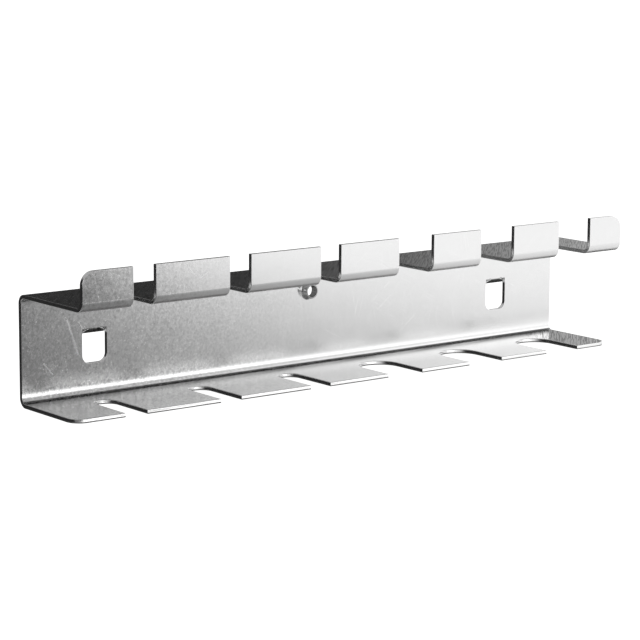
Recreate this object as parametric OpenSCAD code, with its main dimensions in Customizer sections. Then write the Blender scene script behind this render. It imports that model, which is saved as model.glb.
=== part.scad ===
// Screwdriver rack for a perforated tool panel.
// One galvanised steel sheet is folded into a back, an upper flange with lips
// and a lower flange, and a round nut is pressed into the back.
// The origin is the middle of the back's rear face, which lies on the panel.
// X runs along the rack, Y points into the panel and Z points up.

/* [Rack] */
// Length along the panel
rack_l = 250; // [236:1:320]
// Height from the underside of the lower flange to the top of the upper flange
rack_h = 40; // [33:0.5:60]
// Depth of the upper flange, from the panel to the front of the lips
upper_depth = 41; // [36:0.5:60]
// Depth of the lower flange, from the panel to its front edge
lower_depth = 35.5; // [32:0.5:55]
// Height of the lips above the upper flange
lip_rise = 12.7; // [9:0.1:20]

/* [Sheet] */
// Thickness of the sheet
sheet_t = 1.5; // [1:0.1:2]
// Inside radius of the flanges' and lips' folds
bend_r = 2; // [1:0.1:2.6]
// Radius of the blank's outer corners
corner_r = 5; // [1:0.5:6]

/* [Tool slots] */
// Distance between neighbouring slots
slot_pitch = 40; // [32:0.5:42]
// Number of narrow slots, counted from the left end
narrow_count = 3; // [1:1:3]
// Number of wide slots, after the narrow ones
wide_count = 3; // [1:1:3]
// Width of a narrow slot
narrow_w = 9; // [6:0.1:14]
// Width of a wide slot
wide_w = 16.5; // [12:0.1:20]
// Distance from the panel to the closed ends of the slots
slot_web = 12.5; // [8:0.5:16]

/* [Hooks] */
// Distance between neighbouring holes of the panel
panel_pitch = 38; // [30:0.5:40]
// Number of hole distances between the two hooks
hook_bays = 5; // [3:2:5]
// Width of a hook
hook_w = 9.6; // [6:0.1:10]
// Width of the slit on each side of a hook's root
slit_w = 0.3; // [0.2:0.1:1.5]
// Distance of the hooks' underside below the top of the upper flange
hook_drop = 16.8; // [15:0.1:19]
// Height of the window that each hook leaves in the back
window_h = 10.5; // [8:0.1:12]
// Radius of the window's lower corners
window_r = 3; // [1:0.1:4]
// Radius of the window's upper corners, which run in to a hook's root
root_corner_r = 2.5; // [1:0.1:3]
// Gap between the back and a hook's tip, which takes the panel
hook_gap = 3; // [2:0.1:3.5]
// Inside radius of the fold at a hook's root
root_bend_r = 0.5; // [0.3:0.1:0.8]
// Inside radius of the fold at a hook's tip
tip_bend_r = 1; // [0.6:0.1:1.5]
// Radius of the corners of a hook's tip
tip_corner_r = 2; // [0.5:0.1:2.8]

/* [Press nut] */
// Distance of the nut's axis below the top of the upper flange
nut_drop = 10.6; // [9.5:0.1:13]
// Diameter of the nut's head
nut_head_d = 7.4; // [7.2:0.1:9]
// Height of the nut's head in front of the back
nut_head_h = 2; // [1.5:0.1:3]
// Diameter of the nut's hole at the crests of its thread
nut_bore_d = 4.2; // [3.2:0.1:4.4]
// Diameter of the nut's shank in the sheet
nut_shank_d = 6.4; // [6:0.1:6.6]
// Diameter of the toothed collar that bites into the sheet
nut_collar_d = 7; // [6.8:0.1:7.2]
// Diameter of the groove that the sheet flows into
nut_groove_d = 5.9; // [5.6:0.1:6]
// Depth of the nut's chamfers
nut_chamfer = 0.35; // [0.1:0.05:0.6]

/* [Hidden] */
$fn = 96;

// Overrun of every cut past the face that it opens
cut_over = 1;
// Overlap of a hook's root with the back that carries it
root_over = 1;
// Gap that the cutter leaves between a hook's flat tip and the window
tip_kerf = 0.3;
// Distance of the nut's shank from the panel
shank_relief = 0.1;
// Shares of the shank's length taken by the collar and by the groove
collar_share = 0.3;
groove_share = 0.25;
// Angle of every fold
quarter_turn = 90;
// Share of the thickness at which a fold keeps the flat sheet's length
neutral_share = 0.5;

// Main levels and folds
outer_r = bend_r + sheet_t;
floor_z = -rack_h / 2;
deck_z = rack_h / 2;
lip_top_z = deck_z + lip_rise;

// Slots, counted from the left end
slot_count = narrow_count + wide_count;
first_slot_x = -(slot_count - 1) * slot_pitch / 2;
function slot_width(i) = i < narrow_count ? narrow_w : wide_w;
function slot_x(i) = first_slot_x + i * slot_pitch;

// Hooks and their windows
hook_x = hook_bays * panel_pitch / 2;
window_w = hook_w + 2 * slit_w;
hook_under_z = deck_z - hook_drop;
hook_root_z = hook_under_z + root_bend_r + sheet_t;
window_sill_z = hook_under_z - window_h;
function fold_length(r) = PI * (r + sheet_t * neutral_share) / 2;
flat_tab_l = hook_root_z - window_sill_z - tip_kerf;
hook_floor_l = hook_gap - root_bend_r - tip_bend_r;
tip_l = flat_tab_l - fold_length(root_bend_r) - hook_floor_l - fold_length(tip_bend_r);

// Nut levels, measured along its axis from the panel
nut_axis_z = deck_z - nut_drop;
shank_l = sheet_t - shank_relief;
collar_y = sheet_t - shank_l * collar_share;
groove_y = collar_y - shank_l * groove_share;
nut_front_y = sheet_t + nut_head_h;
// Half outline of the nut in the sheet, from the axis at the given level
function shank_points(start_y) = [
    [0, start_y],
    [nut_shank_d / 2, start_y],
    [nut_shank_d / 2, groove_y],
    [nut_groove_d / 2, groove_y],
    [nut_groove_d / 2, collar_y],
    [nut_collar_d / 2, collar_y]
];

// A quarter ring of sheet: its centre is at the origin, its ring lies in the
// first quadrant and is turned by the given number of quarters
module fold(inner_r, quarters) {
    rotate(quarters * quarter_turn)
        intersection() {
            difference() {
                circle(r = inner_r + sheet_t);
                circle(r = inner_r);
            }
            square(inner_r + sheet_t);
        }
}

// Side view of the folded sheet, with depth to the left and height up
module sheet_profile() {
    back_front = -sheet_t;
    lip_back = -upper_depth + sheet_t;
    // Back
    translate([back_front, floor_z + outer_r])
        square([sheet_t, rack_h - 2 * outer_r]);
    // Lower flange and its fold
    translate([-outer_r, floor_z + outer_r])
        fold(bend_r, 3);
    translate([-lower_depth, floor_z])
        square([lower_depth - outer_r, sheet_t]);
    // Upper flange and its fold
    translate([-outer_r, deck_z - outer_r])
        fold(bend_r, 0);
    translate([-upper_depth + outer_r, deck_z - sheet_t])
        square([upper_depth - 2 * outer_r, sheet_t]);
    // Lip and its fold
    translate([lip_back + bend_r, deck_z + bend_r])
        fold(bend_r, 2);
    translate([-upper_depth, deck_z + bend_r])
        square([sheet_t, lip_rise - bend_r]);
}

// Stretches a side view along the rack's length, centred on the middle
module along_rack(length) {
    rotate([quarter_turn, 0, quarter_turn])
        translate([0, 0, -length / 2])
            linear_extrude(length)
                children();
}

// Plan of one tool slot: open at the front, with a full round closed end
module slot_plan(width, depth) {
    end_y = -slot_web - width / 2;
    translate([0, end_y])
        circle(d = width);
    translate([-width / 2, -depth - cut_over])
        square([width, end_y + depth + cut_over]);
}

// All slots of one flange, cut between two levels
module tool_slots(depth, low_z, high_z) {
    for (i = [0 : slot_count - 1])
        translate([slot_x(i), 0, low_z - cut_over])
            linear_extrude(high_z - low_z + 2 * cut_over)
                slot_plan(slot_width(i), depth);
}

// What a rounded corner takes away: the corner at the origin, the sheet
// towards negative X and negative Y of it
module corner_waste() {
    difference() {
        translate([-corner_r, -corner_r])
            square(corner_r + cut_over);
        translate([-corner_r, -corner_r])
            circle(r = corner_r);
    }
}

// Rounds both ends of the lips, seen from the front
module lip_corners() {
    for (side = [0, 1])
        mirror([side, 0, 0])
            translate([rack_l / 2, -upper_depth - cut_over, lip_top_z])
                rotate([-quarter_turn, 0, 0])
                    mirror([0, 1, 0])
                        linear_extrude(sheet_t + 2 * cut_over)
                            corner_waste();
}

// Rounds both front corners of the lower flange
module lower_corners() {
    for (side = [0, 1])
        mirror([side, 0, 0])
            translate([rack_l / 2, -lower_depth, floor_z - cut_over])
                mirror([0, 1, 0])
                    linear_extrude(sheet_t + 2 * cut_over)
                        corner_waste();
}

// A window seen from the front: the place of a hook's tab, with the upper
// corners run in to its root
module window_outline() {
    for (side = [-1, 1]) {
        translate([side * (window_w / 2 - window_r), window_sill_z + window_r])
            circle(r = window_r);
        translate([side * (window_w / 2 - root_corner_r), hook_root_z - root_corner_r])
            circle(r = root_corner_r);
    }
    translate([-window_w / 2, window_sill_z + window_r])
        square([window_w, hook_root_z - root_corner_r - window_sill_z - window_r]);
    translate([-window_w / 2 + window_r, window_sill_z])
        square([window_w - 2 * window_r, window_r]);
    translate([-window_w / 2 + root_corner_r, hook_root_z - root_corner_r])
        square([window_w - 2 * root_corner_r, root_corner_r]);
}

// Cuts a window through the back
module window_cut() {
    translate([0, cut_over, 0])
        rotate([quarter_turn, 0, 0])
            linear_extrude(sheet_t + 2 * cut_over)
                window_outline();
}

// Side view of a hook: down from its root, back through the panel's hole and
// up behind the panel
module hook_profile() {
    translate([-sheet_t, hook_root_z])
        square([sheet_t, root_over]);
    translate([root_bend_r, hook_root_z])
        fold(root_bend_r, 2);
    translate([root_bend_r, hook_under_z])
        square([hook_floor_l, sheet_t]);
    translate([hook_gap - tip_bend_r, hook_under_z + sheet_t + tip_bend_r])
        fold(tip_bend_r, 3);
    translate([hook_gap, hook_under_z + sheet_t + tip_bend_r])
        square([sheet_t, tip_l]);
}

// What the rounding of a hook's tip takes away, at both of its corners
module tip_waste() {
    tip_top_z = hook_under_z + sheet_t + tip_bend_r + tip_l;
    for (side = [0, 1])
        mirror([side, 0, 0])
            translate([hook_w / 2 - tip_corner_r, hook_gap - cut_over, tip_top_z - tip_corner_r])
                difference() {
                    cube([tip_corner_r + cut_over, sheet_t + 2 * cut_over, tip_corner_r + cut_over]);
                    translate([0, -cut_over, 0])
                        rotate([-quarter_turn, 0, 0])
                            cylinder(r = tip_corner_r, h = sheet_t + 4 * cut_over);
                }
}

// What the window's upper corners take away from a hook's root, on both sides
module root_waste() {
    side_r = root_corner_r - slit_w;
    waste_l = sheet_t + root_bend_r + cut_over;
    for (side = [0, 1])
        mirror([side, 0, 0])
            translate([hook_w / 2 - side_r, -sheet_t - cut_over, hook_root_z - root_corner_r])
                difference() {
                    cube([side_r + cut_over, waste_l, root_corner_r + root_over + cut_over]);
                    translate([0, -cut_over, 0])
                        rotate([-quarter_turn, 0, 0])
                            cylinder(r = side_r, h = waste_l + 2 * cut_over);
                }
}

// One hook, as wide as the panel's hole allows
module hook() {
    difference() {
        along_rack(hook_w)
            hook_profile();
        tip_waste();
        root_waste();
    }
}

// Half outline of the nut without its hole: radius to the right, height from
// the panel upwards
module nut_outline() {
    head_r = nut_head_d / 2;
    polygon(concat(shank_points(shank_relief), [
        [nut_collar_d / 2, sheet_t],
        [head_r, sheet_t],
        [head_r, nut_front_y - nut_chamfer],
        [head_r - nut_chamfer, nut_front_y],
        [0, nut_front_y]
    ]));
}

// Half outline of the nut's hole, with a chamfer at each mouth
module nut_hole_outline() {
    bore_r = nut_bore_d / 2;
    mouth_r = bore_r + nut_chamfer + cut_over;
    polygon([
        [0, shank_relief - cut_over],
        [mouth_r, shank_relief - cut_over],
        [bore_r, shank_relief + nut_chamfer],
        [bore_r, nut_front_y - nut_chamfer],
        [mouth_r, nut_front_y + cut_over],
        [0, nut_front_y + cut_over]
    ]);
}

// Turns a half outline about the nut's axis, from the panel to the front
module on_nut_axis() {
    translate([0, 0, nut_axis_z])
        rotate([quarter_turn, 0, 0])
            rotate_extrude()
                children();
}

// Hole in the back, closed by the sheet round the pressed nut's collar and
// groove
module nut_seat() {
    on_nut_axis()
        polygon(concat(shank_points(-cut_over), [
            [nut_collar_d / 2, sheet_t + cut_over],
            [0, sheet_t + cut_over]
        ]));
}

// Folded sheet with its slots, windows and hooks
module rack_sheet() {
    color("silver") {
        difference() {
            along_rack(rack_l)
                sheet_profile();
            tool_slots(upper_depth, deck_z - sheet_t, lip_top_z);
            tool_slots(lower_depth, floor_z, floor_z + sheet_t);
            lip_corners();
            lower_corners();
            for (side = [-1, 1])
                translate([side * hook_x, 0, 0])
                    window_cut();
            nut_seat();
        }
        for (side = [-1, 1])
            translate([side * hook_x, 0, 0])
                hook();
    }
}

// Round nut pressed into the back, open at both ends
module press_nut() {
    color("gainsboro")
        difference() {
            on_nut_axis()
                nut_outline();
            on_nut_axis()
                nut_hole_outline();
        }
}

rack_sheet();
press_nut();
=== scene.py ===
"""Looks of a folded, galvanised screwdriver rack that hangs on a perforated tool panel.

The sheet is cut flat, with rounded sheared edges, and then folded, as the real one is. Lengths are
in millimetres, scaled to metres where a mesh is made. X runs along the rack, +Y points into the
panel and Z points up; the origin is the middle of the back's rear face.
"""
import cmath
import math

import bmesh
import bpy
from mathutils import Matrix, Vector
from mathutils.geometry import delaunay_2d_cdt


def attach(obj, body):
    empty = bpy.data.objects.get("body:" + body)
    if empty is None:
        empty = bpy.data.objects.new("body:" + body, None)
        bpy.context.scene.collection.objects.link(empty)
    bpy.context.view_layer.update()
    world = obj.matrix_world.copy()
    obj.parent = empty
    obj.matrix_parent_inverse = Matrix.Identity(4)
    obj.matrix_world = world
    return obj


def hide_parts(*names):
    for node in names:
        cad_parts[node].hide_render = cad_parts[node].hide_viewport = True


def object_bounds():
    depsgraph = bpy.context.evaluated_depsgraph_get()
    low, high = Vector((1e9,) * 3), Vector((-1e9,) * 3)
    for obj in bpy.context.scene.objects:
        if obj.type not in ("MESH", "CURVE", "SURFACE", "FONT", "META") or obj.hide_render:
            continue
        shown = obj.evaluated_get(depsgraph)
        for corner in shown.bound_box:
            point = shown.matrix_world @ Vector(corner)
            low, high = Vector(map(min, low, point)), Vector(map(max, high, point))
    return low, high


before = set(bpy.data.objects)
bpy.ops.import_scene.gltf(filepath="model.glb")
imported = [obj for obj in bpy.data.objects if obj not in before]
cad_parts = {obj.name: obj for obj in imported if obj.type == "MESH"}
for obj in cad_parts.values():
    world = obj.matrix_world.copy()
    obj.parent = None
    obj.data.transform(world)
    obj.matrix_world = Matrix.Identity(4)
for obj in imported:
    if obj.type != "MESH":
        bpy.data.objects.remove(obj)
cad_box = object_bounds()

MM = 0.001
FULL_TURN, QUARTER_TURN = 2 * math.pi, math.pi / 2

# Sheet
RACK_L, RACK_H = 250.0, 40.0
UPPER_DEPTH, LOWER_DEPTH, LIP_RISE = 41.0, 35.5, 12.7
SHEET_T, BEND_R, CORNER_R = 1.5, 2.0, 5.0
OUTER_R = BEND_R + SHEET_T
FOLD_STEPS = 24
ARC_STEP = math.radians(6)

# Tool slots: place and width, open at the front of both flanges
SLOTS = [(-100.0, 9.0), (-60.0, 9.0), (-20.0, 9.0), (20.0, 16.5), (60.0, 16.5), (100.0, 16.5)]
SLOT_WEB = 12.5

# Hooks, each lanced out of the back below its root
HOOK_XS = (-95.0, 95.0)
HOOK_W, SLIT_W, HOOK_UNDER_Z, HOOK_GAP = 10.0, 0.1, 3.2, 3.0
ROOT_BEND_R, ROOT_CORNER_R = 0.5, 2.5
WINDOW_SILL_Z, WINDOW_R = -7.3, 3.0
TIP_KERF, TIP_BEND_R, TIP_CORNER_R = 0.3, 1.0, WINDOW_R - SLIT_W
ROOT_Z = HOOK_UNDER_Z + ROOT_BEND_R + SHEET_T


def fold_length(inside_r):
    """Length of flat sheet that a quarter fold takes, at the middle of the thickness."""
    return QUARTER_TURN * (inside_r + SHEET_T / 2)


# Folded sheet
def folded_strip(start, heading, b_side, parts):
    """Lists where each part of a strip begins, followed along its side A.

    Points are y + z*1j. b_side is 1 where side B lies to the left of the way ahead, else -1. A part
    is (length, inside radius, turn); a turn of 0 is flat and a positive one turns left.
    """
    rows, travelled, at = [], 0.0, start
    for length, inside_r, turn in parts:
        normal = heading * 1j * b_side
        reach = inside_r + SHEET_T if turn * b_side > 0 else -inside_r
        centre = at + normal * reach
        rows.append((travelled, length, at, heading, normal, centre, turn))
        if turn:
            spin = cmath.exp(1j * turn)
            at = centre + (at - centre) * spin
            heading *= spin
        else:
            at += heading * length
        travelled += length
    return rows


def place_on_strip(rows, s, w):
    """Point at s along the strip and w from side A towards side B, with its two directions."""
    row = rows[0]
    for later in rows[1:]:
        if s >= later[0]:
            row = later
    begin, length, at, heading, normal, centre, turn = row
    if not turn:
        return at + heading * (s - begin) + normal * w, heading, normal
    spin = cmath.exp(1j * turn * (s - begin) / length)
    return centre + (at + normal * w - centre) * spin, heading * spin, normal * spin


BACK_FLAT = RACK_H - 2 * OUTER_R
UPPER_FLAT = UPPER_DEPTH - 2 * OUTER_R
MAIN_PARTS = [
    (LOWER_DEPTH - OUTER_R, 0.0, 0.0),
    (fold_length(BEND_R), BEND_R, QUARTER_TURN),
    (BACK_FLAT, 0.0, 0.0),
    (fold_length(BEND_R), BEND_R, QUARTER_TURN),
    (UPPER_FLAT, 0.0, 0.0),
    (fold_length(BEND_R), BEND_R, -QUARTER_TURN),
    (LIP_RISE - BEND_R, 0.0, 0.0),
]
MAIN = folded_strip(complex(-LOWER_DEPTH, -RACK_H / 2), 1 + 0j, 1, MAIN_PARTS)
BLANK_H = sum(part[0] for part in MAIN_PARTS)
FOLD_BEGIN_S, FOLD_END_S = MAIN[1][0], MAIN[2][0]
BACK_S, UPPER_S = MAIN[2][0], MAIN[4][0]
LIP_FOLD_S, LIP_FOLD_END_S = MAIN[5][0], MAIN[5][0] + MAIN[5][1]


def back_s(z):
    """Place along the blank of a height on the back."""
    return BACK_S + z + RACK_H / 2 - OUTER_R


def lip_s(z):
    """Place along the blank of a height on the lips."""
    return BLANK_H + z - RACK_H / 2 - LIP_RISE


# Above the lower fold the back already starts to turn, as a press leaves it, and the fold is
# tighter in its middle: (share of the fold passed, degrees left to turn)
HOLLOW_L, HOLLOW_POWER, HOLLOW_STEPS = 8.0, 3.0, 10
FOLD_TURNS = [(0.0, 90.0), (0.28, 84.0), (0.55, 22.0), (1.0, 10.0)]


def hollow_lean(s):
    """How far the surface at s along the blank is shaded as leaning beyond its true direction."""
    if s >= FOLD_END_S:
        share = max(0.0, 1 - (s - FOLD_END_S) / HOLLOW_L) ** HOLLOW_POWER
        return -math.radians(FOLD_TURNS[-1][1]) * share
    share = (s - FOLD_BEGIN_S) / (FOLD_END_S - FOLD_BEGIN_S)
    for (low, before), (high, after) in zip(FOLD_TURNS, FOLD_TURNS[1:]):
        if low <= share <= high:
            tilt = before + (after - before) * (share - low) / (high - low)
            return QUARTER_TURN * (1 - share) - math.radians(tilt)
    return 0.0


ROOT_S, SILL_S = back_s(ROOT_Z), back_s(WINDOW_SILL_Z)
TAB_L = ROOT_S - SILL_S - TIP_KERF
TAB_PARTS = [
    (fold_length(ROOT_BEND_R), ROOT_BEND_R, QUARTER_TURN),
    (HOOK_GAP - ROOT_BEND_R - TIP_BEND_R, 0.0, 0.0),
    (fold_length(TIP_BEND_R), TIP_BEND_R, QUARTER_TURN),
]
TAB_PARTS.append((TAB_L - sum(part[0] for part in TAB_PARTS), 0.0, 0.0))
TAB = folded_strip(complex(0, ROOT_Z), -1j, -1, TAB_PARTS)


def arc(x, s, r, begin, turn):
    """Points round an arc, both ends included; angles in quarter turns."""
    steps = max(2, math.ceil(abs(turn) * QUARTER_TURN / ARC_STEP))
    angles = [(begin + turn * i / steps) * QUARTER_TURN for i in range(steps + 1)]
    return [(x + r * math.cos(a), s + r * math.sin(a)) for a in angles]


def blank_outline():
    """The flat blank's outer edge, anticlockwise from its lower left corner."""
    half, low_end, high_end = RACK_L / 2, LOWER_DEPTH - SLOT_WEB, UPPER_S + SLOT_WEB - OUTER_R
    points = arc(-half + CORNER_R, CORNER_R, CORNER_R, 2, 1)
    for x, w in SLOTS:
        points += [(x - w / 2, 0.0)] + arc(x, low_end - w / 2, w / 2, 2, -2) + [(x + w / 2, 0.0)]
    points += arc(half - CORNER_R, CORNER_R, CORNER_R, 3, 1)
    points += arc(half - CORNER_R, BLANK_H - CORNER_R, CORNER_R, 0, 1)
    for x, w in reversed(SLOTS):
        points += [(x + w / 2, BLANK_H)] + arc(x, high_end + w / 2, w / 2, 0, -2)
        points += [(x - w / 2, BLANK_H)]
    return points + arc(-half + CORNER_R, BLANK_H - CORNER_R, CORNER_R, 1, 1)


ROOT_HALF = HOOK_W / 2 + SLIT_W - ROOT_CORNER_R
ROOT_CORNER_S = ROOT_S - ROOT_CORNER_R
TAB_CORNER_R = ROOT_CORNER_R - SLIT_W


def lance_outline(x):
    """The cut round one hook's tab: slit, window edge, slit and then the tab's own edge."""
    half, tab, tip_s = HOOK_W / 2 + SLIT_W, HOOK_W / 2, ROOT_S - TAB_L
    points = arc(x - ROOT_HALF, ROOT_CORNER_S, TAB_CORNER_R, 2, -1)
    points += arc(x - ROOT_HALF, ROOT_CORNER_S, ROOT_CORNER_R, 1, 1)
    points += arc(x - half + WINDOW_R, SILL_S + WINDOW_R, WINDOW_R, 2, 1)
    points += arc(x + half - WINDOW_R, SILL_S + WINDOW_R, WINDOW_R, 3, 1)
    points += arc(x + ROOT_HALF, ROOT_CORNER_S, ROOT_CORNER_R, 0, 1)
    points += arc(x + ROOT_HALF, ROOT_CORNER_S, TAB_CORNER_R, 1, -1)
    points += arc(x + tab - TIP_CORNER_R, tip_s + TIP_CORNER_R, TIP_CORNER_R, 0, -1)
    points += arc(x - tab + TIP_CORNER_R, tip_s + TIP_CORNER_R, TIP_CORNER_R, 3, -1)
    return points


def ring_outline(x, z, r):
    """A round hole in the back."""
    return arc(x, back_s(z), r, 0, 4)[:-1]


# Sheared edges: rolled over on side B, where the blade went in, and nearly sharp on side A. The
# walls that face along the blank lean back above TORN_W and forward below; the slots' sides are
# straight. A corner sharper than SHARP_TURN keeps its crease.
ROLL_R, BURR_R, EDGE_STEPS = 0.18, 0.08, 5
SMOOTH_LEAN, TORN_LEAN, LEAN_POWER = math.radians(8), math.radians(12), 4
TORN_W, CREST_W = 0.4, 0.02
SHARP_TURN = math.radians(20)


def rim_rings():
    """Rings of a sheared edge from side A to side B: inset, level, tilt and lean of the surface."""
    shares = [i / EDGE_STEPS for i in range(EDGE_STEPS + 1)]
    rings = []
    for share in reversed(shares):
        t = QUARTER_TURN * share
        inset, level = BURR_R * (1 - math.cos(t)), BURR_R * (1 - math.sin(t))
        rings.append((inset, level, -t, -TORN_LEAN * (1 - share)))
    rings.append((0.0, TORN_W - CREST_W, 0.0, -TORN_LEAN))
    rings.append((0.0, TORN_W + CREST_W, 0.0, SMOOTH_LEAN))
    for share in shares:
        t = QUARTER_TURN * share
        inset, level = ROLL_R * (1 - math.cos(t)), SHEET_T - ROLL_R * (1 - math.sin(t))
        rings.append((inset, level, t, SMOOTH_LEAN * (1 - share)))
    return rings


def add_rim(bm, points, shade, cut):
    """Adds the edge surface along one loop, which has the sheet on its left; returns its rings."""
    count = len(points)
    points = [Vector(p) for p in points]
    outward = []
    for i in range(count):
        ahead = (points[(i + 1) % count] - points[i]).normalized()
        outward.append(Vector((ahead.y, -ahead.x)))
    mitres, blends = [], []
    for i in range(count):
        both = outward[i - 1] + outward[i]
        closeness = outward[i - 1].dot(outward[i])
        mitres.append(both / (1 + closeness))
        blends.append(both.normalized() if closeness > math.cos(SHARP_TURN) else None)
    grid, tilts = [], []
    for inset, w, tilt, lean in rim_rings():
        places = [points[i] - mitres[i] * inset for i in range(count)]
        grid.append([bm.verts.new((p.x, p.y, w)) for p in places])
        tilts.append((tilt, lean))
    for k in range(len(grid) - 1):
        for i in range(count):
            j = (i + 1) % count
            corners = ((k, i), (k, j), (k + 1, j), (k + 1, i))
            face = bm.faces.new([grid[a][b] for a, b in corners])
            face[cut] = 1.0
            for loop, (a, b) in zip(face.loops, corners):
                side = blends[b] or outward[i]
                tilt = tilts[a][0] + tilts[a][1] * side.y ** LEAN_POWER
                flat = math.cos(tilt)
                loop[shade] = Vector((side.x * flat, side.y * flat, math.sin(tilt)))
    return grid


# A point this near to a cut or an outline counts as on it
CUT_NEAR, FILL_NEAR, NEAR = 1e-6, 1e-7, 1e-3


def cut_across(bm, s, faces=None):
    """Divides the given faces, or all of them, along a line across the blank."""
    faces = bm.faces[:] if faces is None else faces
    edges = {e for f in faces for e in f.edges}
    verts = {v for f in faces for v in f.verts}
    bmesh.ops.bisect_plane(bm, geom=list(verts) + list(edges) + list(faces), dist=CUT_NEAR,
                           plane_co=(0, s, 0), plane_no=(0, 1, 0))


def tab_under(x, s):
    """The x of the hook whose tab holds this point of the blank, or None."""
    if s > ROOT_S - NEAR / 10:
        return None
    tip_corner_s = ROOT_S - TAB_L + TIP_CORNER_R
    for hook_x in HOOK_XS:
        aside = abs(x - hook_x)
        past_tip = math.hypot(max(aside - HOOK_W / 2 + TIP_CORNER_R, 0.0), max(tip_corner_s - s, 0.0))
        past_root = math.hypot(max(aside - ROOT_HALF, 0.0), max(s - ROOT_CORNER_S, 0.0))
        at_root = aside < ROOT_HALF + NEAR or past_root < TAB_CORNER_R + NEAR
        if past_tip < TIP_CORNER_R + NEAR and at_root:
            return hook_x
    return None


def fold_levels(rows, steps):
    """Places along a strip at which its folds are divided."""
    levels = []
    for begin, length, _, _, _, _, turn in rows:
        if turn:
            levels += [begin + length * i / steps for i in range(steps + 1)]
    return sorted(set(round(s, 6) for s in levels))


def sheet_mesh():
    """The whole sheet: cut flat with its sheared edges, divided along its folds and folded."""
    loops = [blank_outline()] + [lance_outline(x)[::-1] for x in HOOK_XS]
    loops.append(ring_outline(0, NUT_Z, NUT_HOLE_R)[::-1])
    bm = bmesh.new()
    shade = bm.loops.layers.float_vector.new("shade")
    cut = bm.faces.layers.float.new("cut_edge")
    blank = bm.verts.layers.float_vector.new("blank")
    low, high, rings = [], [], []
    for points in loops:
        grid = add_rim(bm, points, shade, cut)
        first = len(low)
        low += grid[0]
        high += grid[-1]
        rings.append(list(range(first, len(low))))
    inside_only = 2
    fill = delaunay_2d_cdt([v.co.xy for v in low], [], rings, inside_only, FILL_NEAR)
    verts, faces, origins = fill[0], fill[2], fill[3]
    assert len(verts) == len(low)
    for face in faces:
        ids = [origins[i][0] for i in face]
        for side, corners, facing in ((high, ids, 1.0), (low, ids[::-1], -1.0)):
            made = bm.faces.new([side[i] for i in corners])
            for loop in made.loops:
                loop[shade] = Vector((0.0, 0.0, facing))
    hollow_levels = [FOLD_END_S + HOLLOW_L * i / HOLLOW_STEPS for i in range(1, HOLLOW_STEPS + 1)]
    for s in fold_levels(MAIN, FOLD_STEPS) + hollow_levels + [ROOT_S]:
        cut_across(bm, s)
    for u in fold_levels(TAB, FOLD_STEPS):
        held = [f for f in bm.faces if tab_under(*f.calc_center_median().xy) is not None]
        cut_across(bm, ROOT_S - u, held)
    strips = {}
    for v in bm.verts:
        x, s, w = v.co
        v[blank] = Vector((x, s, w)) * MM
        if tab_under(x, s) is None:
            at, along, through = place_on_strip(MAIN, s, w)
            lean = cmath.exp(1j * hollow_lean(s))
            along, through = along * lean, through * lean
        else:
            at, along, through = place_on_strip(TAB, ROOT_S - s, w)
            along = -along
        strips[v] = (along, through)
        v.co = Vector((x, at.real, at.imag)) * MM
    normals = []
    for f in bm.faces:
        f.smooth = True
        for loop in f.loops:
            along, through = strips[loop.vert]
            across, ahead, out = loop[shade]
            turned = ahead * along + out * through
            normals.append(Vector((across, turned.real, turned.imag)).normalized())
    mesh = bpy.data.meshes.new("sheet")
    bm.to_mesh(mesh)
    bm.free()
    mesh.attributes.remove(mesh.attributes["shade"])
    mesh.normals_split_custom_set(normals)
    return mesh


# Press nut: its neck widens to a foot on the sheet, its front edge is round and its rear mouth wide
NUT_Z, NUT_BACK_Y, NUT_FRONT_Y = 9.4, 0.1, 4.3
NUT_HOLE_R, NUT_SHANK_R, NUT_SHANK_EDGE = 3.23, 3.2, 0.1
NUT_NECK_R, NUT_FOOT_R, NUT_EDGE_R, NUT_ROUND_STEPS = 2.8, 0.9, 0.35, 6
NUT_MOUTH_R, NUT_MOUTH_DEPTH, NUT_COUNTERSINK = 2.95, 1.25, 0.1
THREAD_CREST_R, THREAD_DEPTH, THREAD_PITCH = 2.1, 0.42, 0.8
THREAD_FLANK, THREAD_RUNOUT = 1.15, 0.3
TURN_STEPS, THREAD_ROWS = 96, 54
NUT_CREASE = math.radians(28)
# Painted shade in the threaded bore: it begins at the thread's root plus the first value and is full at
# its root plus the second, in millimetres
BORE_SHADE = (0.25, -0.1)


def turned_point(r, depth, angle):
    """A point of the nut from its radius, its distance in front of the panel and its angle."""
    return Vector((r * math.cos(angle), -depth, NUT_Z + r * math.sin(angle))) * MM


def thread_radius(depth, angle, begin, end):
    """Radius of the threaded hole, running out towards both mouths."""
    phase = (depth / THREAD_PITCH - angle / FULL_TURN) % 1.0
    groove = max(0.0, 1.0 - abs(2 * phase - 1) * THREAD_FLANK)
    runout = min(1.0, (depth - begin) / THREAD_RUNOUT, (end - depth) / THREAD_RUNOUT)
    return THREAD_CREST_R + THREAD_DEPTH * groove * max(0.0, runout)


def nut_profile(begin, end):
    """Radius and depth round the turned body, from the thread's rear end to its front end."""
    shank, edge = NUT_SHANK_R, NUT_SHANK_EDGE
    points = [(THREAD_CREST_R, begin), (NUT_MOUTH_R, NUT_BACK_Y), (shank - edge, NUT_BACK_Y),
              (shank, NUT_BACK_Y + edge), (shank, SHEET_T)]
    turns = [QUARTER_TURN * i / NUT_ROUND_STEPS for i in range(NUT_ROUND_STEPS + 1)]
    for t in turns:
        out, up = NUT_FOOT_R * (1 - math.sin(t)), NUT_FOOT_R * (1 - math.cos(t))
        points.append((NUT_NECK_R + out, SHEET_T + up))
    for t in turns:
        inset, down = NUT_EDGE_R * (1 - math.cos(t)), NUT_EDGE_R * (1 - math.sin(t))
        points.append((NUT_NECK_R - inset, NUT_FRONT_Y - down))
    return points + [(THREAD_CREST_R + NUT_COUNTERSINK, NUT_FRONT_Y), (THREAD_CREST_R, end)]


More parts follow.
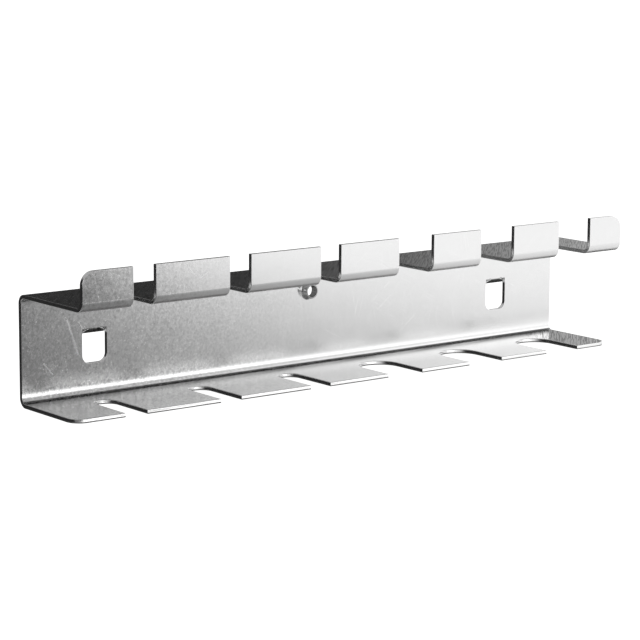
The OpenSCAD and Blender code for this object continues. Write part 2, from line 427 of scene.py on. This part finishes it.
def nut_mesh():
    """The round nut: a turned body with a real thread in its hole."""
    begin, end = NUT_MOUTH_DEPTH, NUT_FRONT_Y - NUT_COUNTERSINK
    angles = [FULL_TURN * i / TURN_STEPS for i in range(TURN_STEPS)]
    rows = [[(r, depth)] * TURN_STEPS for r, depth in nut_profile(begin, end)]
    for k in range(1, THREAD_ROWS):
        depth = end + (begin - end) * k / THREAD_ROWS
        rows.append([(thread_radius(depth, angle, begin, end), depth) for angle in angles])
    bm = bmesh.new()
    grid = [[bm.verts.new(turned_point(r, depth, angle)) for angle, (r, depth) in zip(angles, row)]
            for row in rows]
    for k in range(len(grid)):
        below, above = grid[k], grid[(k + 1) % len(grid)]
        for i in range(TURN_STEPS):
            j = (i + 1) % TURN_STEPS
            bm.faces.new((below[i], below[j], above[j], above[i])).smooth = True
    bmesh.ops.recalc_face_normals(bm, faces=bm.faces[:])
    for e in bm.edges:
        e.smooth = e.calc_face_angle(0.0) < NUT_CREASE
    mesh = bpy.data.meshes.new("nut")
    bm.to_mesh(mesh)
    bm.free()
    return mesh


# Materials
class Graph:
    """Shorthand for building one node tree."""

    def __init__(self, tree):
        self.tree = tree
        tree.nodes.clear()

    def join(self, source, socket):
        self.tree.links.new(source, socket)

    def add(self, kind, **inputs):
        """A node with its inputs set by name, from a value or another node's output."""
        node = self.node(kind)
        for name, value in inputs.items():
            self.feed(node.inputs[name.replace("_", " ")], value)
        return node

    def feed(self, socket, value):
        if isinstance(value, bpy.types.NodeSocket):
            self.join(value, socket)
        else:
            socket.default_value = value

    def node(self, kind):
        return self.tree.nodes.new(kind)

    def attribute(self, name, output):
        node = self.node("ShaderNodeAttribute")
        node.attribute_name = name
        return node.outputs[output]

    def vector(self, operation, *values, output="Vector"):
        node = self.node("ShaderNodeVectorMath")
        node.operation = operation
        for socket, value in zip(node.inputs, values):
            self.feed(socket, value)
        return node.outputs[output]

    def scaled(self, vector, share):
        node = self.node("ShaderNodeVectorMath")
        node.operation = "SCALE"
        self.feed(node.inputs[0], vector)
        self.feed(node.inputs["Scale"], share)
        return node.outputs["Vector"]

    def grain(self, at, size, turn=0.0, detail=2.0):
        """Noise with spots of the given size in millimetres, turned about the third axis."""
        turned = self.add("ShaderNodeMapping", Vector=at, Rotation=(0.0, 0.0, turn), Scale=size)
        turned.vector_type = "TEXTURE"
        noise = self.add("ShaderNodeTexNoise", Vector=turned.outputs[0], Scale=1.0, Detail=detail)
        return noise.outputs["Fac"]

    def total(self, *terms):
        """Sum of (value, weight) pairs."""
        result = self.math("MULTIPLY", *terms[0])
        for value, weight in terms[1:]:
            result = self.math("MULTIPLY_ADD", value, weight, result)
        return result

    def grey(self, level):
        return self.add("ShaderNodeCombineColor", Red=level, Green=level, Blue=level).outputs[0]

    def math(self, operation, *values):
        node = self.node("ShaderNodeMath")
        node.operation = operation
        for socket, value in zip(node.inputs, values):
            self.feed(socket, value)
        return node.outputs[0]

    def between(self, value, low, high):
        """Rises smoothly from 0 at low to 1 at high."""
        node = self.node("ShaderNodeMapRange")
        node.interpolation_type = "SMOOTHSTEP"
        rising = low < high
        self.feed(node.inputs["Value"], value)
        node.inputs["From Min"].default_value = min(low, high)
        node.inputs["From Max"].default_value = max(low, high)
        node.inputs["To Min"].default_value = 0.0 if rising else 1.0
        node.inputs["To Max"].default_value = 1.0 if rising else 0.0
        return node.outputs[0]

    def mix(self, share, first, second):
        """Goes from first to second as share goes from 0 to 1."""
        node = self.node("ShaderNodeMix")
        self.feed(node.inputs["Factor"], share)
        self.feed(node.inputs["A"], first)
        self.feed(node.inputs["B"], second)
        return node.outputs["Result"]

    def curve(self, value, points):
        """A smooth curve through (place, level) points."""
        low, high = points[0][0], points[-1][0]
        top = max(level for _, level in points)
        share = self.math("DIVIDE", self.math("SUBTRACT", value, low), high - low)
        ramp = self.node("ShaderNodeValToRGB")
        ramp.color_ramp.interpolation = "EASE"
        elements = ramp.color_ramp.elements
        while len(elements) < len(points):
            elements.new(0.5)
        for element, (place, level) in zip(elements, points):
            element.position = (place - low) / (high - low)
            element.color = (level / top, level / top, level / top, 1)
        self.join(share, ramp.inputs["Fac"])
        return self.math("MULTIPLY", ramp.outputs["Color"], top)


def new_material(name):
    material = bpy.data.materials.new(name)
    material.use_nodes = True
    return material


def bare_metal(graph, level, rough, height):
    """Closes a material as grey metal; height is in millimetres."""
    bump = graph.add("ShaderNodeBump", Strength=1.0, Distance=MM, Height=height)
    shader = graph.add("ShaderNodeBsdfPrincipled", Base_Color=graph.grey(level), Metallic=1.0,
                       Roughness=rough, Normal=bump.outputs[0])
    graph.join(shader.outputs[0], graph.node("ShaderNodeOutputMaterial").inputs["Surface"])


def scratch(graph, at, begin, end, width):
    """1 on a straight scratch between two points of the sheet's front, fading beside it."""
    begin, end = Vector((*begin, SHEET_T)), Vector((*end, SHEET_T))
    way = end - begin
    from_begin = graph.vector("SUBTRACT", at, begin)
    along = graph.vector("DOT_PRODUCT", from_begin, way, output="Value")
    along = graph.math("DIVIDE", along, way.length_squared)
    share = graph.math("MINIMUM", graph.math("MAXIMUM", along, 0.0), 1.0)
    foot = graph.scaled(way, share)
    aside = graph.vector("LENGTH", graph.vector("SUBTRACT", from_begin, foot), output="Value")
    return graph.between(aside, width, 0.0)


def patch(graph, at, middle, reach):
    """1 at a place on the sheet's front, fading out at its reach."""
    aside = graph.vector("DISTANCE", at, (*middle, SHEET_T), output="Value")
    return graph.between(aside, reach, 0.0)


# Marks on the sheet: places on the flat blank, in millimetres. A scratch has its two ends and its
# width, a scuffed place its middle and its reach.
LONG_SCRATCHES = [
    ((-106.2, back_s(9.0)), (-102.0, back_s(-3.6)), 0.75),
    ((-101.6, back_s(8.0)), (-99.4, back_s(4.6)), 0.5),
    ((-116.0, back_s(-5.5)), (-112.5, back_s(-9.5)), 0.5),
    ((-82.0, lip_s(31.0)), (-79.5, lip_s(28.0)), 0.4),
    ((-77.0, lip_s(26.5)), (-73.5, lip_s(28.5)), 0.4),
]
SCUFFS = [((-112.0, back_s(-9.0)), 8.0), ((-78.0, lip_s(27.0)), 9.0)]
HAIR_TURNS = [math.radians(a) for a in (74, 101, 38, -27)]
HAIR_SIZE, HAIR_EDGE = (26.0, 0.28, 1.0), (0.70, 0.78)
BREAK_SIZE, BREAK_EDGE = (9.0, 5.0, 1.0), (0.5, 0.62)
TANGLES, TANGLE_EDGE = [((2.6, 0.22, 1.0), HAIR_TURNS[2]), ((2.2, 0.25, 1.0), HAIR_TURNS[0])], (0.6, 0.7)


def sheet_scratches(graph, at):
    """Hair scratches all over, denser in the scuffed places, and the few long ones."""
    hairs = 0.0
    for turn in HAIR_TURNS:
        lines = graph.between(graph.grain(at, HAIR_SIZE, turn, 0.0), *HAIR_EDGE)
        broken = graph.between(graph.grain(at, BREAK_SIZE, turn), *BREAK_EDGE)
        hairs = graph.math("MULTIPLY_ADD", lines, broken, hairs)
    dense = 0.0
    for middle, reach in SCUFFS:
        dense = graph.math("ADD", dense, patch(graph, at, middle, reach))
    tangle, crossed = [graph.between(graph.grain(at, size, turn, 1.0), *TANGLE_EDGE)
                       for size, turn in TANGLES]
    scuffed = graph.math("MULTIPLY", dense, graph.math("MAXIMUM", tangle, crossed))
    marks = graph.total((hairs, 0.3), (scuffed, 0.5))
    for begin, end, width in LONG_SCRATCHES:
        marks = graph.math("MAXIMUM", marks, scratch(graph, at, begin, end, width))
    return graph.math("MINIMUM", marks, 1.0)


# How softly the band on the lips' fold ends, and where the painted shade band on a hook's root does below
# ROOT_S
LIP_BAND_SOFT = 0.25
ROOT_SHADE_TOP, ROOT_SHADE_END = (0.1, -0.3), (-2.4, -2.0)


def lip_fold_band(graph, s, w):
    """1 on the outside of the fold below the lips, which is strained and matt."""
    begun = graph.between(s, LIP_FOLD_S - LIP_BAND_SOFT, LIP_FOLD_S + LIP_BAND_SOFT)
    unended = graph.between(s, LIP_FOLD_END_S + LIP_BAND_SOFT, LIP_FOLD_END_S - LIP_BAND_SOFT)
    outside = graph.math("GREATER_THAN", w, SHEET_T / 2)
    return graph.math("MULTIPLY", graph.math("MULTIPLY", begun, unended), outside)


def hook_root_shade_band(graph, x, s):
    """1 on the outside of each hook's root, which is painted darker as shade and made rougher."""
    below_top, above_end = [graph.between(s, ROOT_S + begin, ROOT_S + end)
                            for begin, end in (ROOT_SHADE_TOP, ROOT_SHADE_END)]
    aside = graph.math("SUBTRACT", graph.math("ABSOLUTE", x), HOOK_XS[1])
    on_hook = graph.math("LESS_THAN", graph.math("ABSOLUTE", aside), HOOK_W / 2)
    return graph.math("MULTIPLY", graph.math("MULTIPLY", below_top, above_end), on_hook)


# Painted reflection streaks, whose colour shows most on faces seen at a low angle: their turn and size,
# where they begin, and how far a face must be turned away
STREAK_TURN, STREAK_SIZE, STREAK_EDGE = math.radians(46), (12.0, 0.4, 1.0), (0.47, 0.56)
STREAKED_DECK_S, STREAKED_FLOOR_X = UPPER_S - 1.0, (104.0, 112.0)
LOW_ANGLE = (0.55, 0.85)


def painted_reflection_streaks(graph, at, x, s):
    """Painted reflection streaks across the upper flange and the right end of the lower one, strongest
    where seen at a low angle.
    """
    on_deck = graph.math("MULTIPLY", graph.math("GREATER_THAN", s, STREAKED_DECK_S),
                         graph.math("LESS_THAN", s, LIP_FOLD_S))
    on_floor = graph.math("MULTIPLY", graph.math("LESS_THAN", s, FOLD_BEGIN_S),
                          graph.between(x, *STREAKED_FLOOR_X))
    reflection_streaks = []
    for turn, place in ((-STREAK_TURN, on_deck), (STREAK_TURN, on_floor)):
        lines = graph.between(graph.grain(at, STREAK_SIZE, turn, 1.0), *STREAK_EDGE)
        reflection_streaks.append(graph.math("MULTIPLY", lines, place))
    facing = graph.add("ShaderNodeLayerWeight", Blend=0.5).outputs["Facing"]
    shown = graph.total((graph.between(facing, *LOW_ANGLE), 0.9), (1.0, 0.1))
    return graph.math("MULTIPLY", graph.math("ADD", *reflection_streaks), shown)


# Places along the rack between which the mottle grows from none to full
MOTTLED_BACK_X, MOTTLED_LIP_X = (15.0, -85.0), (-50.0, -110.0)
TORN_SOFT = 0.08


def galvanised_sheet():
    """Bright zinc: mottle and streaks, scratches, smudges, dull folds and torn cut edges, with painted
    reflection streaks on the flanges and painted shade on the hooks' roots.
    """
    material = new_material("galvanised_sheet")
    graph = Graph(material.node_tree)
    at = graph.vector("DIVIDE", graph.attribute("blank", "Vector"), (MM, MM, MM))
    parts = graph.add("ShaderNodeSeparateXYZ", Vector=at)
    x, s, w = parts.outputs["X"], parts.outputs["Y"], parts.outputs["Z"]

    mottle = graph.grain(at, (0.9, 1.1, 1.0), detail=1.0)
    pores = graph.grain(at, (0.35, 0.45, 1.0), detail=1.0)
    waves = graph.grain(at, (17.0, 13.0, 1.0), detail=1.0)
    streaks = graph.grain(at, (0.5, 16.0, 1.0), detail=2.0)
    smudges = graph.grain(at, (9.0, 6.0, 1.0), detail=3.0)
    marks = sheet_scratches(graph, at)
    # Painted reflection: streaks that darken the colour, most where a face is seen at a low angle
    reflection_streaks = painted_reflection_streaks(graph, at, x, s)
    strained = lip_fold_band(graph, s, w)
    # Painted shade: a darker band on the hooks' roots, which are also rougher
    root_shade_and_matt = hook_root_shade_band(graph, x, s)

    # The coat is mottled towards the left end, and less so on the lips
    on_lip = graph.math("GREATER_THAN", s, LIP_FOLD_S)
    coat = graph.mix(on_lip, graph.between(x, *MOTTLED_BACK_X), graph.between(x, *MOTTLED_LIP_X))
    coat = graph.total((coat, 0.94), (1.0, 0.06))
    spots = graph.math("MULTIPLY", graph.total((mottle, 0.6), (pores, 0.4), (1.0, -0.5)), coat)
    specks = graph.math("MULTIPLY", graph.between(pores, 0.66, 0.76), coat)
    face_rough = graph.total((spots, 0.16), (reflection_streaks, 0.05), (streaks, 0.06), (smudges, 0.06), (marks, 0.18),
                             (strained, 0.2), (root_shade_and_matt, 0.25), (specks, 0.1), (1.0, 0.09))
    # Colour: the reflection streaks are painted reflection, and the darkening on the hooks' roots is
    # painted shade
    face_level = graph.total((spots, 0.9), (specks, 0.12), (reflection_streaks, -0.58), (smudges, 0.05),
                             (marks, 0.15), (root_shade_and_matt, -0.68), (1.0, 0.81))

    # The cut walls have drag lines through the sheet, and are smooth above and torn below
    drag = graph.grain(at, (0.22, 0.22, 6.0), detail=2.0)
    torn = graph.between(w, TORN_W + TORN_SOFT, TORN_W - TORN_SOFT)
    cut_rough = graph.total((torn, 0.18), (drag, 0.1), (1.0, 0.1))
    cut_level = graph.total((torn, -0.4), (drag, 0.1), (1.0, 0.88))

    cut = graph.attribute("cut_edge", "Fac")
    height = graph.total((mottle, 0.005), (pores, 0.002), (waves, 0.025), (streaks, 0.001),
                         (marks, -0.004), (graph.math("MULTIPLY", strained, pores), 0.006),
                         (graph.math("MULTIPLY", cut, drag), 0.008))
    bare_metal(graph, graph.mix(cut, face_level, cut_level), graph.mix(cut, face_rough, cut_rough), height)
    return material


def zinc_plating():
    """Turned steel under bright zinc: fine rings from the tool, with painted shade darkening the colour in
    the thread, which is also duller.
    """
    material = new_material("zinc_plating")
    graph = Graph(material.node_tree)
    place = graph.vector("DIVIDE", graph.add("ShaderNodeTexCoord").outputs["Object"], (MM, MM, MM))
    place = graph.vector("SUBTRACT", place, (0.0, 0.0, NUT_Z))
    depth = graph.add("ShaderNodeSeparateXYZ", Vector=place).outputs["Y"]
    radius = graph.vector("LENGTH", graph.vector("MULTIPLY", place, (1.0, 0.0, 1.0)), output="Value")
    turned = graph.add("ShaderNodeCombineXYZ", X=radius, Y=depth)
    rings = graph.grain(turned.outputs[0], (0.09, 0.09, 1.0), detail=1.0)
    stains = graph.grain(place, (1.4, 1.4, 1.4), detail=3.0)
    # Painted shade: the colour darkens inside the bore, which is also rougher
    inside = graph.between(radius, *[THREAD_CREST_R + THREAD_DEPTH + beyond for beyond in BORE_SHADE])
    level = graph.total((stains, 0.1), (rings, 0.04), (inside, -0.5), (1.0, 0.86))
    rough = graph.total((rings, 0.08), (stains, 0.12), (inside, 0.1), (1.0, 0.14))
    bare_metal(graph, level, rough, graph.total((rings, 0.006), (stains, 0.02)))
    return material


# Pieces
def add_piece(name, mesh, material, node):
    piece = bpy.data.objects.new(name, mesh)
    bpy.context.scene.collection.objects.link(piece)
    mesh.materials.append(material)
    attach(piece, "root")
    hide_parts(node)
    return piece


add_piece("folded_sheet", sheet_mesh(), galvanised_sheet(), "rack_sheet")
add_piece("press_nut_turned", nut_mesh(), zinc_plating(), "press_nut")


# Floor and studio light
FLOOR_HALF, FLOOR_GAP = 3000.0, 0.1
FLOOR_GREY, FLOOR_GLOW = 0.8, 0.96
# The table as the metal mirrors it, in millimetres: a painted pool of light, glowing brighter at the
# right, with a soft edge that is sharper further in front of the rack. Close to the rack the studio shows
# instead.
TABLE_LEVEL, TABLE_BEGIN_Y = 1.08, -36.0
TABLE_EDGE_X, TABLE_EDGE_TURN = -2.0, -0.26
TABLE_SOFT, TABLE_SOFT_TURN, TABLE_SOFT_LEAST = 90.0, 0.21, 20.0


def painted_table_light(graph):
    """Painted light of the table at each of its points, and 1 where the table begins."""
    place = graph.add("ShaderNodeNewGeometry").outputs["Position"]
    parts = graph.add("ShaderNodeSeparateXYZ", Vector=place)
    x, y = [graph.math("DIVIDE", parts.outputs[axis], MM) for axis in ("X", "Y")]
    edge = graph.math("MULTIPLY_ADD", y, TABLE_EDGE_TURN, TABLE_EDGE_X)
    soft = graph.math("MULTIPLY_ADD", y, TABLE_SOFT_TURN, TABLE_SOFT)
    soft = graph.math("MAXIMUM", soft, TABLE_SOFT_LEAST)
    past = graph.math("DIVIDE", graph.math("SUBTRACT", edge, x), soft)
    lit = graph.math("DIVIDE", 1.0, graph.math("ADD", graph.math("EXPONENT", past), 1.0))
    return graph.math("MULTIPLY", lit, TABLE_LEVEL), graph.math("LESS_THAN", y, TABLE_BEGIN_Y)


def floor_material():
    """A pale floor, white for the camera, and glowing with a painted table light where the metal mirrors
    it.
    """
    material = new_material("floor")
    graph = Graph(material.node_tree)
    path = graph.add("ShaderNodeLightPath")
    matt = graph.add("ShaderNodeBsdfDiffuse", Color=(FLOOR_GREY, FLOOR_GREY, FLOOR_GREY, 1))
    glow = graph.add("ShaderNodeEmission",
                     Strength=graph.math("MULTIPLY", path.outputs["Is Camera Ray"], FLOOR_GLOW))
    pale = graph.node("ShaderNodeAddShader")
    graph.join(matt.outputs[0], pale.inputs[0])
    graph.join(glow.outputs[0], pale.inputs[1])
    # Painted light: for mirrored rays the floor glows as a table lit at the right would look
    level, begun = painted_table_light(graph)
    table = graph.add("ShaderNodeEmission", Strength=level)
    mirrored = graph.add("ShaderNodeMixShader", Fac=begun)
    graph.join(graph.node("ShaderNodeBsdfTransparent").outputs[0], mirrored.inputs[1])
    graph.join(table.outputs[0], mirrored.inputs[2])
    shown = graph.add("ShaderNodeMixShader", Fac=path.outputs["Is Glossy Ray"])
    graph.join(pale.outputs[0], shown.inputs[1])
    graph.join(mirrored.outputs[0], shown.inputs[2])
    graph.join(shown.outputs[0], graph.node("ShaderNodeOutputMaterial").inputs["Surface"])
    return material


def add_floor():
    mesh = bpy.data.meshes.new("floor")
    half, z = FLOOR_HALF * MM, cad_box[0].z - FLOOR_GAP * MM
    corners = [(-half, -half, z), (half, -half, z), (half, half, z), (-half, half, z)]
    mesh.from_pydata(corners, [], [(0, 1, 2, 3)])
    mesh.materials.append(floor_material())
    floor = bpy.data.objects.new("floor", mesh)
    bpy.context.scene.collection.objects.link(floor)


# Azimuths run from the rack's front (-Y) towards its right end (+X), in degrees. Each list gives
# the brightness at heights of the direction, from straight down (-1) to straight up (1).
# The wide lamp at the right
BOX_BEGIN, BOX_BEGIN_SOFT = 39.5, 8.0
BOX_END, BOX_END_SOFT = 133.0, 12.0
BOX_LEVELS = [(-1.0, 0.03), (-0.5, 0.1), (-0.1, 0.9), (0.1, 1.1), (0.35, 1.5), (0.6, 0.4),
              (0.8, 0.06), (0.93, 0.08), (1.0, 0.35)]
# The front of the studio, with a bright strip low down
FRONT_BEGIN, FRONT_SOFT = -50.0, 25.0
FRONT_LEVELS = [(-1.0, 0.03), (-0.5, 0.1), (-0.2, 0.25), (-0.05, 0.8), (0.05, 1.7), (0.11, 1.5),
                (0.18, 0.45), (0.3, 0.36), (0.65, 0.12), (0.93, 0.08), (1.0, 0.35)]
# What lies to the left of the rack and behind it
REAR_LEVELS = [(-1.0, 0.5), (-0.45, 0.45), (-0.28, 0.02), (0.3, 0.03), (0.5, 0.4), (0.8, 0.5), (1.0, 0.35)]


def add_world():
    """A studio with a wide soft lamp at the right, a strip in front and dim light behind and above."""
    world = bpy.data.worlds.new("studio")
    bpy.context.scene.world = world
    world.use_nodes = True
    graph = Graph(world.node_tree)
    direction = graph.add("ShaderNodeTexCoord").outputs["Generated"]
    way = graph.add("ShaderNodeSeparateXYZ", Vector=direction)
    to_front = graph.math("MULTIPLY", way.outputs["Y"], -1.0)
    azimuth = graph.math("DEGREES", graph.math("ARCTAN2", way.outputs["X"], to_front))
    rear, front, box = [graph.curve(way.outputs["Z"], levels)
                        for levels in (REAR_LEVELS, FRONT_LEVELS, BOX_LEVELS)]
    at_front = graph.between(azimuth, FRONT_BEGIN - FRONT_SOFT, FRONT_BEGIN + FRONT_SOFT)
    in_box = graph.between(azimuth, BOX_BEGIN - BOX_BEGIN_SOFT, BOX_BEGIN + BOX_BEGIN_SOFT)
    before_end = graph.between(azimuth, BOX_END + BOX_END_SOFT, BOX_END - BOX_END_SOFT)
    lit = graph.mix(graph.math("MULTIPLY", at_front, before_end), rear, graph.mix(in_box, front, box))
    path = graph.add("ShaderNodeLightPath")
    strength = graph.mix(path.outputs["Is Camera Ray"], lit, 1.0)
    sky = graph.add("ShaderNodeBackground", Color=(1, 1, 1, 1), Strength=strength)
    graph.join(sky.outputs[0], graph.node("ShaderNodeOutputWorld").inputs["Surface"])


# The camera: a long lens to the left of the rack and slightly above it. The aim point is the
# middle of the back's front face, and AIM_IN_VIEW is the same point in the camera's own axes.
YAW, PITCH, ROLL = math.radians(38.01), math.radians(9.98), math.radians(0.37)
AIM_POINT = Vector((0, -SHEET_T, 0))
AIM_IN_VIEW = Vector((-4.65, 1.9, -909.75))
LENS_MM = 135.73


def add_camera():
    data = bpy.data.cameras.new("photo_view")
    data.lens = LENS_MM
    camera = bpy.data.objects.new("photo_view", data)
    bpy.context.scene.collection.objects.link(camera)
    turn = (Matrix.Rotation(-YAW, 3, "Z") @ Matrix.Rotation(QUARTER_TURN - PITCH, 3, "X")
            @ Matrix.Rotation(ROLL, 3, "Z"))
    place = (AIM_POINT - turn @ AIM_IN_VIEW) * MM
    camera.matrix_world = Matrix.Translation(place) @ turn.to_4x4()
    bpy.context.scene.camera = camera


add_floor()
add_world()
add_camera()
bpy.context.scene.view_settings.view_transform = "Standard"
